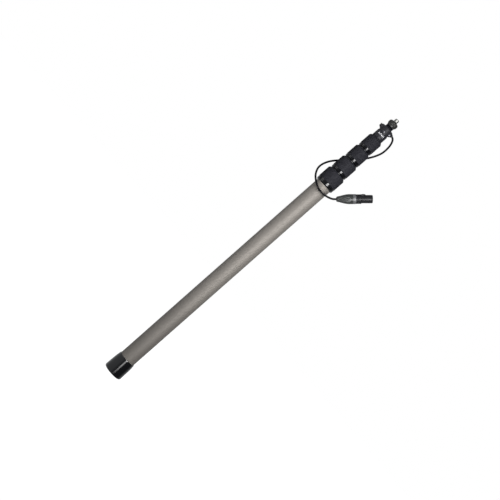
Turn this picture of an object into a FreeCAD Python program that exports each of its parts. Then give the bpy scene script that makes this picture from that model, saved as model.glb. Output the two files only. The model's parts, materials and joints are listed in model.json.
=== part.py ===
import FreeCAD, Part
import math
import os

# A telescoping microphone boom pole with an internal coiled cable, shown closed.
# Millimetres.  The pole stands along +Z on the centre of its foot, and the lead's
# plug hangs on the +X side.

# ---- Driving dimensions: tubes and locks, keyed by section or stage number ----
TUBE_WALL = 1.0
TUBE_OD = {1: 35.0, 2: 31.0, 3: 27.5, 4: 24.3, 5: 21.1}
TUBE_FOOT = {1: 6.0, 2: 36.0, 3: 56.0, 4: 76.0, 5: 96.0}
LOCK_FOOT = {1: 544.7, 2: 581.3, 3: 615.5, 4: 648.8}
LOCK_TOP = {1: 580.3, 2: 614.5, 3: 647.8, 4: 681.3}
COLLAR_OD = {1: 41.9, 2: 38.0, 3: 34.7, 4: 31.8}
FLANGE_HEIGHT = {1: 4.6, 2: 3.4, 3: 3.4, 4: 3.4}
SKIRT_TOP = {1: 8.2, 2: 6.0, 3: 6.0, 4: 6.0}
STAGES = (1, 2, 3, 4)
INNER_SECTIONS = (2, 3, 4, 5)

# ---- Running clearances, on the radius ----
THREAD_GAP = 0.05
BUSH_GAP = 0.05
COLLET_GAP = 0.04
SHOULDER_GAP = 0.25
LIP_GAP = 0.3
LIP_RELIEF = 1.0
LIP_RELIEF_DEPTH = 2.8

# ---- Lock details shared by all stages ----
FLANGE_INSET = 0.35
FLANGE_BEVEL = 0.48
LOWER_LIP = 0.6
LOWER_LIP_DROP = 1.8
COLLAR_WALL = 2.05
PART_LINE = 0.15
SKIRT_INSET = 0.3
CHAMFER_RISE = 3.4
CHAMFER_IN = 2.5
NECK_BELOW_TOP = 14.0
SHOULDER_BELOW_TOP = 20.0
COLLET_BELOW_TOP = 4.8
COLLET_STRAIGHT = 3.0
COLLET_TIP_WALL = 1.1
COLLET_SLOTS = 6
COLLET_SLOT = 1.2
COLLET_SLOT_DEPTH = 7.0
BUSH_LENGTH = 20.0
BUSH_LIP = 2.0

# ---- Boot and its male connector ----
BOOT_HEIGHT = 39.4
BOOT_FOOT_R = 20.6
BOOT_WAIST_R = 20.25
BOOT_WAIST_Z = 22.0
BOOT_TOP_R = 18.9
BOOT_CORNER = 3.0
BOOT_STRAIGHT = 4.0
BOOT_CHAMFER = 0.8
SOCKET_MOUTH_R = 12.0
SOCKET_SHELL_R = (8.15, 9.6)
SOCKET_SHELL_Z = (1.0, 27.0)
SOCKET_FLANGE_R = 16.4
SOCKET_FLANGE_Z = (6.0, 9.0)
SOCKET_PLATE_Z = 4.0
SOCKET_INSERT_Z = (17.0, 27.0)
SOCKET_SCREW_CIRCLE_R = 14.8
CONTACT_CIRCLE_R = 4.765
CONTACT_ANGLES = (180.0, 0.0, 270.0)
PIN_R = 1.2
PIN_Z = (5.0, 30.0)
SCREW_R = 1.5
SCREW_HEAD_R = 2.5
SCREW_HEAD_DEPTH = 1.6
SCREW_SINK = 0.2
SCREW_ANGLES = (90, 210, 330)

# ---- Tip: ferrule, head, neck, stud and lock nut, stacked up from the ferrule ----
TIP_FERRULE_R = 12.3
TIP_FERRULE_Z = (682.3, 697.4)
TIP_SEAT_Z = TIP_FERRULE_Z[1] - 3.2
TIP_BEVEL = 0.8
TIP_EDGE = 0.3
GROOVE_FROM_END = 1.6
GROOVE_HALF = 0.25
GROOVE_DEPTH = 0.35
CABLE_WAY_R = 7.6
SPIGOT_R = 9.4
SPIGOT_TOP = TIP_FERRULE_Z[1] + 5.6
HEAD_R = 11.5
HEAD_TOP = TIP_FERRULE_Z[1] + 15.2
HEAD_ROOF = HEAD_TOP - 2.7
HEAD_CAVITY_R = 8.0
HEAD_BEVEL = 3.0
LOBE_R = 5.7
LOBE_REACH = 15.9
LOBE_END_ROUND = 5.2
LOBE_Z = HEAD_TOP - 6.4
PORT_Z = HEAD_TOP - 6.0
LEAD_PORT_R = 2.6
SPARE_PORT_R = 3.1
HEAD_SCREW_R = 1.25
HEAD_SCREW_CAP_R = 2.0
HEAD_SCREW_CAP = 1.1
HEAD_SCREW_PROUD = 0.3
HEAD_SCREW_X = 0.8
HEAD_SCREW_Z = TIP_FERRULE_Z[1] + 2.9
CLAMP_SCREW_X = 11.0
CLAMP_SCREW_Z = LOBE_Z - 2.2
CLAMP_SCREW_FACE_Y = -LOBE_R - 0.1
CLAMP_SCREW_END_Y = -2.4
NECK_TOP = HEAD_TOP + 4.0
NECK_R = 8.3
NECK_RIBS = 2
NECK_RIB = 0.6
STUD_R = 9.525 / 2
STUD_SHOULDER_R = 5.3
STUD_RELIEF_R = 4.6
STUD_RELIEF_TOP = NECK_TOP + 12.3
STUD_TOP = NECK_TOP + 20.0
STUD_BEVEL = 0.6
NUT_Z = (NECK_TOP + 0.1, NECK_TOP + 12.1)
NUT_R = 10.3
NUT_FLARE = 4.8
NUT_BANDS = 2
NUT_BAND = 1.5
NUT_GROOVE_DEPTH = 0.45
NUT_GROOVE = (0.95, 1.1, 1.35)
NUT_STRAIGHT = 0.9
WASHER_R = 6.4
WASHER_THICK = 0.8

# ---- Coiled cable, lead and plug ----
COIL_R = (3.6, 6.4)
COIL_Z = (33.0, 190.0, 350.0, 510.0, 675.0)
COIL_GAP = 0.5
LEAD_R = 1.6
LEAD_STRAIGHT = 0.001
GROMMET_GAP = 0.3
GROMMET_RIM = 0.9
GROMMET_LIP = 0.7
SPARE_GROMMET_R = 2.1
PLUG_TAIL = (35.3, -22.0, 543.6)
PLUG_LEAN = 41.4
PLUG_LENGTH = 69.5
PLUG_LEAD_GAP = 2.0
PLUG_BARREL_R = 9.15
PLUG_NOSE_R = 7.95
PLUG_BORE_R = 6.9
PLUG_SPIGOT_R = 7.95
PLUG_SPIGOT_FOOT = 26.2
PLUG_BOOT_R = 9.65
PLUG_BOOT_END = 31.6
PLUG_BOOT_BORE_R = 8.0
PLUG_RING_R = 9.55
PLUG_RING_Z = (31.7, 37.6)
PLUG_BARREL_Z = (37.7, 47.6)
PLUG_NOSE_FOOT = 48.6
PLUG_CHUCK_R = 5.0
PLUG_CHUCK_Z = (13.0, 26.0)
PLUG_INSERT_Z = (44.0, 68.5)
PLUG_CONTACT_R = 1.85
PLUG_CONTACT_Z = (42.0, 67.0)
PLUG_CONTACT_BORE_FOOT = 50.0
LATCH_FOOT = 45.0
LATCH_WIDTH = 6.8
LATCH_SLOT = 7.2

# The lead's route: angle round the pole from +X, distance from its axis, height.
LEAD_ROUTE = (
    (0, 0, 679), (0, 0, 690), (0, 0.9, 697), (0, 3.6, 703.2), (0, 9, 706.6),
    (0, 13, 706.65), (0, 16.6, 706.55), (3, 21.8, 704.2), (6, 26.2, 697.2), (10, 28.9, 685.4),
    (20, 29.8, 672.8), (33, 28.8, 661), (50, 27.5, 648.5), (92, 26.5, 623),
    (135, 27, 600), (152, 30, 588.7),
    (166, 32.8, 575.5), (182, 33.2, 563), (200, 32, 552.5), (217, 30.2, 544),
    (236, 28.3, 537.5), (253, 27.3, 533.2), (274, 27.3, 530.6), (300, 28.8, 531.8),
    (312, 31.6, 533.9), (321, 36.6, 537.2),
)

UP = FreeCAD.Vector(0, 0, 1)


def vec(x, y, z):
    return FreeCAD.Vector(x, y, z)


# ---- Shape helpers ----
def lathe(outline):
    """Turn a closed outline of (radius, height) points round the Z axis.

    A point given as ((radius, height), "arc", (radius, height)) is reached by an arc
    through the first pair to the second.
    """
    edges = []
    first = vec(outline[0][0], 0, outline[0][1])
    last = first
    for step in outline[1:]:
        if len(step) == 3:
            middle = vec(step[0][0], 0, step[0][1])
            end = vec(step[2][0], 0, step[2][1])
            edges.append(Part.Arc(last, middle, end).toShape())
        else:
            end = vec(step[0], 0, step[1])
            edges.append(Part.makeLine(last, end))
        last = end
    edges.append(Part.makeLine(last, first))
    return Part.Face(Part.Wire(edges)).revolve(vec(0, 0, 0), UP, 360)


def corner(centre, radius, turn):
    """The middle of a round corner: the point at the angle turn, in degrees."""
    a = math.radians(turn)
    return (centre[0] + radius * math.cos(a), centre[1] + radius * math.sin(a))


def ring(r_in, r_out, z_low, z_high):
    return lathe([(r_in, z_low), (r_out, z_low), (r_out, z_high), (r_in, z_high)])


def rod(radius, start, direction, length):
    return Part.makeCylinder(radius, length, start, direction)


def on_circle(radius, angle, z):
    a = math.radians(angle)
    return vec(radius * math.cos(a), radius * math.sin(a), z)


def around_x(shape):
    """Lay a shape that stands along +Z down along +X."""
    turned = shape.copy()
    turned.rotate(vec(0, 0, 0), vec(0, 1, 0), 90)
    return turned


def group(solids):
    return Part.makeCompound(solids)


# ---- Sizes worked out from the driving dimensions ----
def tube_r(section):
    return TUBE_OD[section] / 2


def collar_r(stage):
    return COLLAR_OD[stage] / 2


def neck_r(stage):
    return collar_r(stage) - COLLAR_WALL


def shoulder_z(stage):
    return LOCK_TOP[stage] - SHOULDER_BELOW_TOP


def collet_z(stage):
    foot = LOCK_TOP[stage] - NECK_BELOW_TOP + PART_LINE
    return foot, LOCK_TOP[stage] - COLLET_BELOW_TOP


def collet_outline(stage, grow):
    """The collet's outer points, from its foot up, each grown outwards by grow."""
    low, high = collet_z(stage)
    wide = neck_r(stage) - LIP_GAP + grow
    narrow = tube_r(stage + 1) + COLLET_TIP_WALL + grow
    return [(wide, low), (wide, low + COLLET_STRAIGHT), (narrow, high)]


# ---- The base: boot and its connector ----
def base_boot():
    foot_flat = BOOT_FOOT_R - BOOT_CORNER
    round_middle = corner((foot_flat, BOOT_CORNER), BOOT_CORNER, -45)
    return lathe([
        (SOCKET_MOUTH_R + BOOT_CHAMFER, 0),
        (foot_flat, 0),
        (round_middle, "arc", (BOOT_FOOT_R, BOOT_CORNER)),
        (BOOT_FOOT_R, BOOT_CORNER + BOOT_STRAIGHT),
        (BOOT_WAIST_R, BOOT_WAIST_Z),
        (BOOT_TOP_R, BOOT_HEIGHT - BOOT_CHAMFER),
        (BOOT_TOP_R - BOOT_CHAMFER, BOOT_HEIGHT),
        (tube_r(1), BOOT_HEIGHT),
        (tube_r(1), TUBE_FOOT[1]),
        (SOCKET_MOUTH_R, TUBE_FOOT[1]),
        (SOCKET_MOUTH_R, BOOT_CHAMFER),
    ]).cut(socket_screws())


def socket_screws():
    """Three countersunk screws, up through the boot's floor into the flange."""
    screws = []
    for turn in SCREW_ANGLES:
        screw = lathe([
            (0, SCREW_SINK),
            (SCREW_HEAD_R, SCREW_SINK),
            (SCREW_R, SCREW_SINK + SCREW_HEAD_DEPTH),
            (SCREW_R, SOCKET_FLANGE_Z[1]),
            (0, SOCKET_FLANGE_Z[1]),
        ])
        mouth = rod(SCREW_HEAD_R, vec(0, 0, 0), UP, SCREW_SINK)
        screw = screw.fuse(mouth).removeSplitter()
        screw.translate(on_circle(SOCKET_SCREW_CIRCLE_R, turn, 0))
        screws.append(screw)
    return group(screws)


def socket_housing():
    """The male shell: a tube with a plate in the boot's mouth and a flange behind it."""
    r_in, r_out = SOCKET_SHELL_R
    low, high = SOCKET_SHELL_Z
    shell = lathe([
        (r_in, low),
        (r_out, low),
        (r_out, SOCKET_PLATE_Z),
        (SOCKET_MOUTH_R - BUSH_GAP, SOCKET_PLATE_Z),
        (SOCKET_MOUTH_R - BUSH_GAP, SOCKET_FLANGE_Z[0]),
        (SOCKET_FLANGE_R, SOCKET_FLANGE_Z[0]),
        (SOCKET_FLANGE_R, SOCKET_FLANGE_Z[1]),
        (r_out, SOCKET_FLANGE_Z[1]),
        (r_out, high),
        (r_in, high),
    ])
    return shell.cut(socket_screws())


def contact_places(z):
    return [on_circle(CONTACT_CIRCLE_R, turn, z) for turn in CONTACT_ANGLES]


def socket_pins():
    """Three pins with rounded tips, which point down out of the insert."""
    low, high = PIN_Z
    tip = lathe([
        (0, low),
        (corner((0, low + PIN_R), PIN_R, -45), "arc", (PIN_R, low + PIN_R)),
        (PIN_R, high),
        (0, high),
    ])
    pins = []
    for place in contact_places(0):
        pin = tip.copy()
        pin.translate(place)
        pins.append(pin)
    return group(pins)


def socket_insert():
    low, high = SOCKET_INSERT_Z
    disc = rod(SOCKET_SHELL_R[0], vec(0, 0, low), UP, high - low)
    return disc.cut(socket_pins())


# ---- Tubes and their bushes ----
def tube_top(section):
    return TIP_SEAT_Z if section == 5 else shoulder_z(section)


def tube(section):
    outside = tube_r(section)
    return ring(outside - TUBE_WALL, outside, TUBE_FOOT[section], tube_top(section))


def guide_bush(section):
    """A sleeve on the lower end of an inner tube, with a lip under the tube's end."""
    foot = TUBE_FOOT[section]
    inside = tube_r(section)
    outside = tube_r(section - 1) - TUBE_WALL - BUSH_GAP
    return lathe([
        (inside - TUBE_WALL, foot - BUSH_LIP),
        (outside, foot - BUSH_LIP),
        (outside, foot + BUSH_LENGTH),
        (inside, foot + BUSH_LENGTH),
        (inside, foot),
        (inside - TUBE_WALL, foot),
    ])


# ---- Locks ----
def lower_lip(section, foot):
    """The thin lip under a ferrule, which goes down inside the collar below it."""
    inside = tube_r(section)
    return ring(inside, inside + LOWER_LIP, foot - LOWER_LIP_DROP, foot)


def ferrule(stage):
    """The outer flange, the threaded neck and the inner shoulder that stops the bush."""
    foot = LOCK_FOOT[stage]
    flange_r = collar_r(stage) - FLANGE_INSET
    flange_top = foot + FLANGE_HEIGHT[stage]
    bevel = FLANGE_HEIGHT[stage] * FLANGE_BEVEL
    body = lathe([
        (tube_r(stage), foot),
        (flange_r - bevel, foot),
        (flange_r, foot + bevel),
        (flange_r, flange_top),
        (neck_r(stage), flange_top),
        (neck_r(stage), LOCK_TOP[stage] - NECK_BELOW_TOP),
        (tube_r(stage + 1) + SHOULDER_GAP, LOCK_TOP[stage] - NECK_BELOW_TOP),
        (tube_r(stage + 1) + SHOULDER_GAP, shoulder_z(stage)),
        (tube_r(stage), shoulder_z(stage)),
    ])
    if stage == 1:
        return body
    return body.fuse(lower_lip(stage, foot)).removeSplitter()


def collet(stage):
    """A tapered ring that grips the next tube, slit from its top."""
    low, high = collet_z(stage)
    bore = tube_r(stage + 1) + COLLET_GAP
    body = lathe([(bore, low)] + collet_outline(stage, 0) + [(bore, high)])
    reach = collar_r(stage)
    slot = Part.makeBox(reach, COLLET_SLOT, COLLET_SLOT_DEPTH)
    slot.translate(vec(0, -COLLET_SLOT / 2, high - COLLET_SLOT_DEPTH))
    for n in range(COLLET_SLOTS):
        cutter = slot.copy()
        cutter.rotate(vec(0, 0, 0), UP, 360 * n / COLLET_SLOTS)
        body = body.cut(cutter)
    return body


def collar(stage):
    """The grip ring: a smooth skirt, the grip, a long top bevel and a cone inside."""
    foot = LOCK_FOOT[stage] + FLANGE_HEIGHT[stage] + PART_LINE
    skirt = LOCK_FOOT[stage] + SKIRT_TOP[stage]
    top = LOCK_TOP[stage]
    grip_r = collar_r(stage)
    lip_r = tube_r(stage + 1) + LIP_GAP
    cone = collet_outline(stage, THREAD_GAP)
    thread_r = neck_r(stage) + THREAD_GAP
    collet_foot, collet_top = collet_z(stage)
    return lathe([
        (thread_r, foot),
        (grip_r - SKIRT_INSET, foot),
        (grip_r - SKIRT_INSET, skirt),
        (grip_r, skirt + SKIRT_INSET),
        (grip_r, top - CHAMFER_RISE),
        (grip_r - CHAMFER_IN, top),
        (tube_r(stage + 1) + LIP_RELIEF, top),
        (tube_r(stage + 1) + LIP_RELIEF, top - LIP_RELIEF_DEPTH),
        (lip_r, top - LIP_RELIEF_DEPTH),
        (lip_r, collet_top + THREAD_GAP),
        (cone[2][0], collet_top + THREAD_GAP),
        cone[1],
        (cone[0][0], collet_foot),
        (thread_r, collet_foot),
    ])


# ---- Tip ----
def tip_ferrule():
    """A sleeve over the last tube, with two thin grooves and a spigot for the head."""
    low, high = TIP_FERRULE_Z
    outline = [(tube_r(5), low), (TIP_FERRULE_R - TIP_BEVEL, low), (TIP_FERRULE_R, low + TIP_BEVEL)]
    for groove in (low + GROOVE_FROM_END, high - GROOVE_FROM_END):
        outline += [
            (TIP_FERRULE_R, groove - GROOVE_HALF),
            (TIP_FERRULE_R - GROOVE_DEPTH, groove),
            (TIP_FERRULE_R, groove + GROOVE_HALF),
        ]
    outline += [
        (TIP_FERRULE_R, high - TIP_EDGE),
        (TIP_FERRULE_R - TIP_EDGE, high),
        (SPIGOT_R, high),
        (SPIGOT_R, SPIGOT_TOP),
        (CABLE_WAY_R, SPIGOT_TOP),
        (CABLE_WAY_R, TIP_SEAT_Z),
        (tube_r(5), TIP_SEAT_Z),
    ]
    return lathe(outline).fuse(lower_lip(5, low)).removeSplitter().cut(head_screws())


def lobes():
    """The two opposite rounded bosses, as one bar with rounded ends along X."""
    flat = LOBE_R - LOBE_END_ROUND
    shelf = LOBE_REACH - LOBE_END_ROUND
    bar = lathe([
        (0, -LOBE_REACH),
        (flat, -LOBE_REACH),
        (corner((flat, -shelf), LOBE_END_ROUND, -45), "arc", (LOBE_R, -shelf)),
        (LOBE_R, shelf),
        (corner((flat, shelf), LOBE_END_ROUND, 45), "arc", (flat, LOBE_REACH)),
        (0, LOBE_REACH),
    ])
    bar = around_x(bar)
    bar.translate(vec(0, 0, LOBE_Z))
    return bar


def exit_head():
    """The head on the spigot: hollow, with a port in each lobe and a tapped roof."""
    foot = TIP_FERRULE_Z[1]
    body = lathe([
        (0, foot),
        (HEAD_R, foot),
        (HEAD_R, HEAD_TOP - HEAD_BEVEL),
        (HEAD_R - HEAD_BEVEL, HEAD_TOP),
        (0, HEAD_TOP),
    ])
    solid = body.fuse(lobes()).removeSplitter()
    hollow = lathe([
        (0, foot),
        (SPIGOT_R, foot),
        (SPIGOT_R, SPIGOT_TOP),
        (HEAD_CAVITY_R, SPIGOT_TOP),
        (HEAD_CAVITY_R, HEAD_ROOF),
        (STUD_SHOULDER_R, HEAD_ROOF),
        (STUD_SHOULDER_R, HEAD_TOP),
        (0, HEAD_TOP),
    ])
    lead_port = rod(LEAD_PORT_R, vec(0, 0, PORT_Z), vec(1, 0, 0), LOBE_REACH + 1)
    spare_port = rod(SPARE_PORT_R, vec(0, 0, PORT_Z), vec(-1, 0, 0), LOBE_REACH + 1)
    for cutter in (hollow, lead_port, spare_port, head_screws()):
        solid = solid.cut(cutter)
    return solid


def head_screw(x, face_y, z, end_y):
    """One small pan-head screw that points towards the middle of the pole."""
    inwards = 1 if end_y > face_y else -1
    direction = vec(0, inwards, 0)
    cap = rod(HEAD_SCREW_CAP_R, vec(x, face_y, z), direction, HEAD_SCREW_CAP)
    shank = rod(HEAD_SCREW_R, vec(x, face_y, z), direction, abs(end_y - face_y))
    return cap.fuse(shank).removeSplitter()


def head_screws():
    """Two screws that hold the head on its spigot, and one that clamps the lead's lobe."""
    face = HEAD_R + HEAD_SCREW_PROUD
    return group([
        head_screw(-HEAD_SCREW_X, -face, HEAD_SCREW_Z, -CABLE_WAY_R),
        head_screw(HEAD_SCREW_X, face, HEAD_SCREW_Z, CABLE_WAY_R),
        head_screw(CLAMP_SCREW_X, CLAMP_SCREW_FACE_Y, CLAMP_SCREW_Z, CLAMP_SCREW_END_Y),
    ])


def grommet(outer_r, inner_r, side):
    """A rubber bush in a lobe's port, with a domed rim outside."""
    low = HEAD_CAVITY_R + 1
    rim = LOBE_REACH + GROMMET_RIM
    bush = lathe([
        (inner_r, low),
        (outer_r, low),
        (outer_r, LOBE_REACH),
        (outer_r + GROMMET_LIP, LOBE_REACH),
        (corner((outer_r, LOBE_REACH), GROMMET_LIP, 60), "arc", (outer_r - 0.3, rim)),
        (inner_r, rim),
    ])
    bush = around_x(bush)
    if side < 0:
        bush.rotate(vec(0, 0, 0), UP, 180)
    bush.translate(vec(0, 0, PORT_Z))
    return bush


def neck_boss():
    """The ribbed boss between the head and the lock nut."""
    outline = [(STUD_SHOULDER_R, HEAD_TOP), (NECK_R, HEAD_TOP)]
    pitch = (NECK_TOP - HEAD_TOP) / (NECK_RIBS + 0.5)
    for n in range(NECK_RIBS):
        z = HEAD_TOP + pitch * (n + 0.5)
        outline += [
            (NECK_R, z),
            (NECK_R - NECK_RIB, z + 0.25 * pitch),
            (NECK_R - NECK_RIB, z + 0.5 * pitch),
            (NECK_R, z + 0.75 * pitch),
        ]
    outline += [(NECK_R, NECK_TOP), (STUD_SHOULDER_R, NECK_TOP)]
    return lathe(outline)


def mount_stud():
    """The stud: a shoulder held by the head and neck, a relief, and the mount's thread."""
    return lathe([
        (0, HEAD_ROOF),
        (STUD_SHOULDER_R, HEAD_ROOF),
        (STUD_SHOULDER_R, NECK_TOP),
        (STUD_RELIEF_R, NECK_TOP),
        (STUD_RELIEF_R, STUD_RELIEF_TOP),
        (STUD_R, STUD_RELIEF_TOP),
        (STUD_R, STUD_TOP - STUD_BEVEL),
        (STUD_R - STUD_BEVEL, STUD_TOP),
        (0, STUD_TOP),
    ])


def lock_nut():
    """A round thumb nut with a long flared foot, two ridge bands and a rounded top."""
    low, high = NUT_Z
    bore = STUD_R + THREAD_GAP
    seat = high - WASHER_THICK
    foot = low + NUT_FLARE
    outline = [
        (bore, low),
        (NECK_R - 0.1, low),
        (NECK_R, low + 0.9),
        (NECK_R + 0.9, low + 2.9),
        (NUT_R, foot),
    ]
    edge, floor_start, floor_end = NUT_GROOVE
    for n in range(NUT_BANDS):
        z = foot + NUT_BAND * n
        outline += [
            (NUT_R, z + edge),
            (NUT_R - NUT_GROOVE_DEPTH, z + floor_start),
            (NUT_R - NUT_GROOVE_DEPTH, z + floor_end),
            (NUT_R, z + NUT_BAND),
        ]
    shoulder = foot + NUT_BANDS * NUT_BAND + NUT_STRAIGHT
    radius = high - shoulder
    round_middle = corner((NUT_R - radius, shoulder), radius, 45)
    outline += [
        (NUT_R, shoulder),
        (round_middle, "arc", (NUT_R - radius, high)),
        (WASHER_R, high),
        (WASHER_R, seat),
        (bore, seat),
    ]
    return lathe(outline)


def jam_washer():
    bore = STUD_R + THREAD_GAP
    top = NUT_Z[1]
    return ring(bore, WASHER_R - THREAD_GAP, top - WASHER_THICK, top)


# ---- Coiled cable, lead and plug ----
def coil(stretch):
    """The space that one stretch of the coiled cable fills."""
    r_in, r_out = COIL_R
    return ring(r_in, r_out, COIL_Z[stretch - 1], COIL_Z[stretch] - COIL_GAP)


def plug_direction():
    lean = math.radians(PLUG_LEAN)
    return vec(math.sin(lean), 0, math.cos(lean))


def arc_to(start, heading, end):
    """The arc from start to end that sets off along heading, and the heading it ends with."""
    chord = end - start
    along = chord * (1 / chord.Length)
    side = heading - along * heading.dot(along)
    arrival = along * (2 * heading.dot(along)) - heading
    if side.Length < LEAD_STRAIGHT:
        return Part.makeLine(start, end), arrival
    side.normalize()
    rise = chord.Length / 2 * math.tan(heading.getAngle(along) / 2)
    return Part.Arc(start, start + chord * 0.5 + side * rise, end).toShape(), arrival


def meeting_point(start, heading, end, arrival):
    """Where two arcs meet that join start to end and keep both headings."""
    chord = end - start
    both = chord.dot(heading + arrival)
    bend = 2 * (1 - heading.dot(arrival))
    if bend < LEAD_STRAIGHT ** 2:
        reach = chord.dot(chord) / (2 * both)
    else:
        reach = (math.sqrt(both ** 2 + bend * chord.dot(chord)) - both) / bend
    return (start + heading * reach + end - arrival * reach) * 0.5


def lead_path():
    """The lead's centre line: pairs of arcs through the route's points, each in line with the last."""
    points = [on_circle(radius, angle, z) for angle, radius, z in LEAD_ROUTE]
    points.append(vec(*PLUG_TAIL) - plug_direction() * PLUG_LEAD_GAP)
    curve = Part.BSplineCurve()
    curve.interpolate(points)
    headings = [curve.tangent(curve.parameter(point))[0] for point in points]
    headings[0] = UP
    edges = []
    heading = headings[0]
    for n in range(len(points) - 1):
        joint = meeting_point(points[n], heading, points[n + 1], headings[n + 1])
        edge, heading = arc_to(points[n], heading, joint)
        edges.append(edge)
        edge, heading = arc_to(joint, heading, points[n + 1])
        edges.append(edge)
    return Part.Wire(edges)


def mic_lead():
    """The lead: up the tip, out of the head's port, once round the pole to the plug."""
    path = lead_path()
    profile = Part.Wire([Part.makeCircle(LEAD_R, vec(0, 0, LEAD_ROUTE[0][2]), UP)])
    return path.makePipeShell([profile], True, False)


def placed_on_plug(shape):
    """Move a shape that stands along +Z on the origin to the plug's place and lean."""
    moved = shape.copy()
    moved.rotate(vec(0, 0, 0), vec(0, 1, 0), PLUG_LEAN)
    moved.translate(vec(*PLUG_TAIL))
    return moved


def plug_boot():
    """The tapered rubber boot over the plug's cable end."""
    return placed_on_plug(lathe([
        (LEAD_R + THREAD_GAP, 0),
        (3.3, 0),
        ((4.7, 0.9), "arc", (5.3, 3)),
        ((7.4, 14), "arc", (PLUG_BOOT_R, 26)),
        (PLUG_BOOT_R, PLUG_BOOT_END),
        (PLUG_BOOT_BORE_R, PLUG_BOOT_END),
        (PLUG_BOOT_BORE_R, 22),
        (5.6, 12),
        (LEAD_R + THREAD_GAP, 9),
    ]))


def plug_chuck():
    """The clamp that holds the cable inside the boot."""
    return placed_on_plug(ring(LEAD_R + THREAD_GAP, PLUG_CHUCK_R, *PLUG_CHUCK_Z))


def plug_ring():
    return placed_on_plug(ring(PLUG_BOOT_BORE_R, PLUG_RING_R, *PLUG_RING_Z))


def latch_pocket():
    """The opening in the shell's side where the latch tongue lies."""
    pocket = Part.makeBox(PLUG_BARREL_R, LATCH_SLOT, 11.2)
    pocket.translate(vec(-PLUG_BARREL_R - PLUG_BORE_R, -LATCH_SLOT / 2, LATCH_FOOT - 0.4))
    return pocket


def plug_shell():
    """The metal shell: a spigot under the boot, a barrel and a slimmer nose."""
    bore = PLUG_BORE_R
    foot, step = PLUG_BARREL_Z
    shell = lathe([
        (bore, PLUG_SPIGOT_FOOT),
        (PLUG_SPIGOT_R, PLUG_SPIGOT_FOOT),
        (PLUG_SPIGOT_R, foot),
        (PLUG_BARREL_R - 0.3, foot),
        (PLUG_BARREL_R, foot + 0.3),
        (PLUG_BARREL_R, step),
        (PLUG_NOSE_R, PLUG_NOSE_FOOT),
        (PLUG_NOSE_R, PLUG_LENGTH - 0.8),
        (PLUG_NOSE_R - 0.8, PLUG_LENGTH),
        (bore, PLUG_LENGTH),
    ])
    rail = Part.makeBox(2.4, 9.0, 8.0)
    rail.translate(vec(-PLUG_BARREL_R + 0.3, -4.5, step))
    inside = rod(bore, vec(0, 0, PLUG_SPIGOT_FOOT), UP, PLUG_LENGTH - PLUG_SPIGOT_FOOT)
    shell = shell.fuse(rail.cut(inside)).cut(latch_pocket()).removeSplitter()
    return placed_on_plug(shell)


def plug_latch():
    """The spring tongue with its push pad, set in the shell's side."""
    tongue = Part.makeBox(1.0, LATCH_WIDTH, 10.3)
    tongue.translate(vec(-PLUG_BARREL_R + 0.15, -LATCH_WIDTH / 2, LATCH_FOOT))
    pad_width = LATCH_WIDTH - 1.0
    pad = Part.makeBox(0.7, pad_width, 6.0)
    pad.translate(vec(-PLUG_BARREL_R - 0.4, -pad_width / 2, LATCH_FOOT + 3.6))
    return placed_on_plug(tongue.fuse(pad).removeSplitter())


def contact_group(radius, low, high):
    return group([rod(radius, place, UP, high - low) for place in contact_places(low)])


def plug_contacts():
    """Three socket contacts, each with a bore for a 2.4 mm pin."""
    low, high = PLUG_CONTACT_Z
    outside = contact_group(PLUG_CONTACT_R, low, high)
    bores = contact_group(PIN_R + THREAD_GAP, PLUG_CONTACT_BORE_FOOT, high)
    contacts = [c.cut(b) for c, b in zip(outside.Solids, bores.Solids)]
    return placed_on_plug(group(contacts))


def plug_insert():
    """The insulator that carries the contacts, with an entry hole over each."""
    low, high = PLUG_INSERT_Z
    contact_end = PLUG_CONTACT_Z[1]
    body = rod(PLUG_BORE_R, vec(0, 0, low), UP, high - low)
    body = body.cut(contact_group(PLUG_CONTACT_R, low, contact_end))
    body = body.cut(contact_group(PIN_R + THREAD_GAP, contact_end, high))
    return placed_on_plug(body)


# ---- All nodes, and their STEP files ----
def all_parts():
    parts = {
        "base_boot": base_boot(),
        "socket_housing": socket_housing(),
        "socket_insert": socket_insert(),
        "socket_pins": socket_pins(),
        "socket_screws": socket_screws(),
        "tube_1": tube(1),
        "tip_ferrule": tip_ferrule(),
        "exit_head": exit_head(),
        "head_screws": head_screws(),
        "lead_grommet": grommet(LEAD_PORT_R, LEAD_R + GROMMET_GAP, 1),
        "port_grommet": grommet(SPARE_PORT_R, SPARE_GROMMET_R, -1),
        "neck_boss": neck_boss(),
        "mount_stud": mount_stud(),
        "lock_nut": lock_nut(),
        "jam_washer": jam_washer(),
        "mic_lead": mic_lead(),
        "plug_boot": plug_boot(),
        "plug_ring": plug_ring(),
        "plug_chuck": plug_chuck(),
        "plug_shell": plug_shell(),
        "plug_insert": plug_insert(),
        "plug_contacts": plug_contacts(),
        "plug_latch": plug_latch(),
    }
    for section in INNER_SECTIONS:
        parts[f"tube_{section}"] = tube(section)
        parts[f"guide_bush_{section}"] = guide_bush(section)
    for stage in STAGES:
        parts[f"ferrule_{stage}"] = ferrule(stage)
        parts[f"collet_{stage}"] = collet(stage)
        parts[f"collar_{stage}"] = collar(stage)
        parts[f"coil_{stage}"] = coil(stage)
    return parts


os.makedirs("parts", exist_ok=True)
for node, shape in all_parts().items():
    assert shape.isValid() and shape.Solids and shape.Volume > 0, node
    shape.exportStep(f"parts/{node}.step")
    print(f"{node:16s} {len(shape.Solids)} solids {shape.Volume:10.1f} mm3")
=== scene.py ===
import json
import math

import bmesh
import bpy
from mathutils import Matrix, Vector
from mathutils.bvhtree import BVHTree


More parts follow.
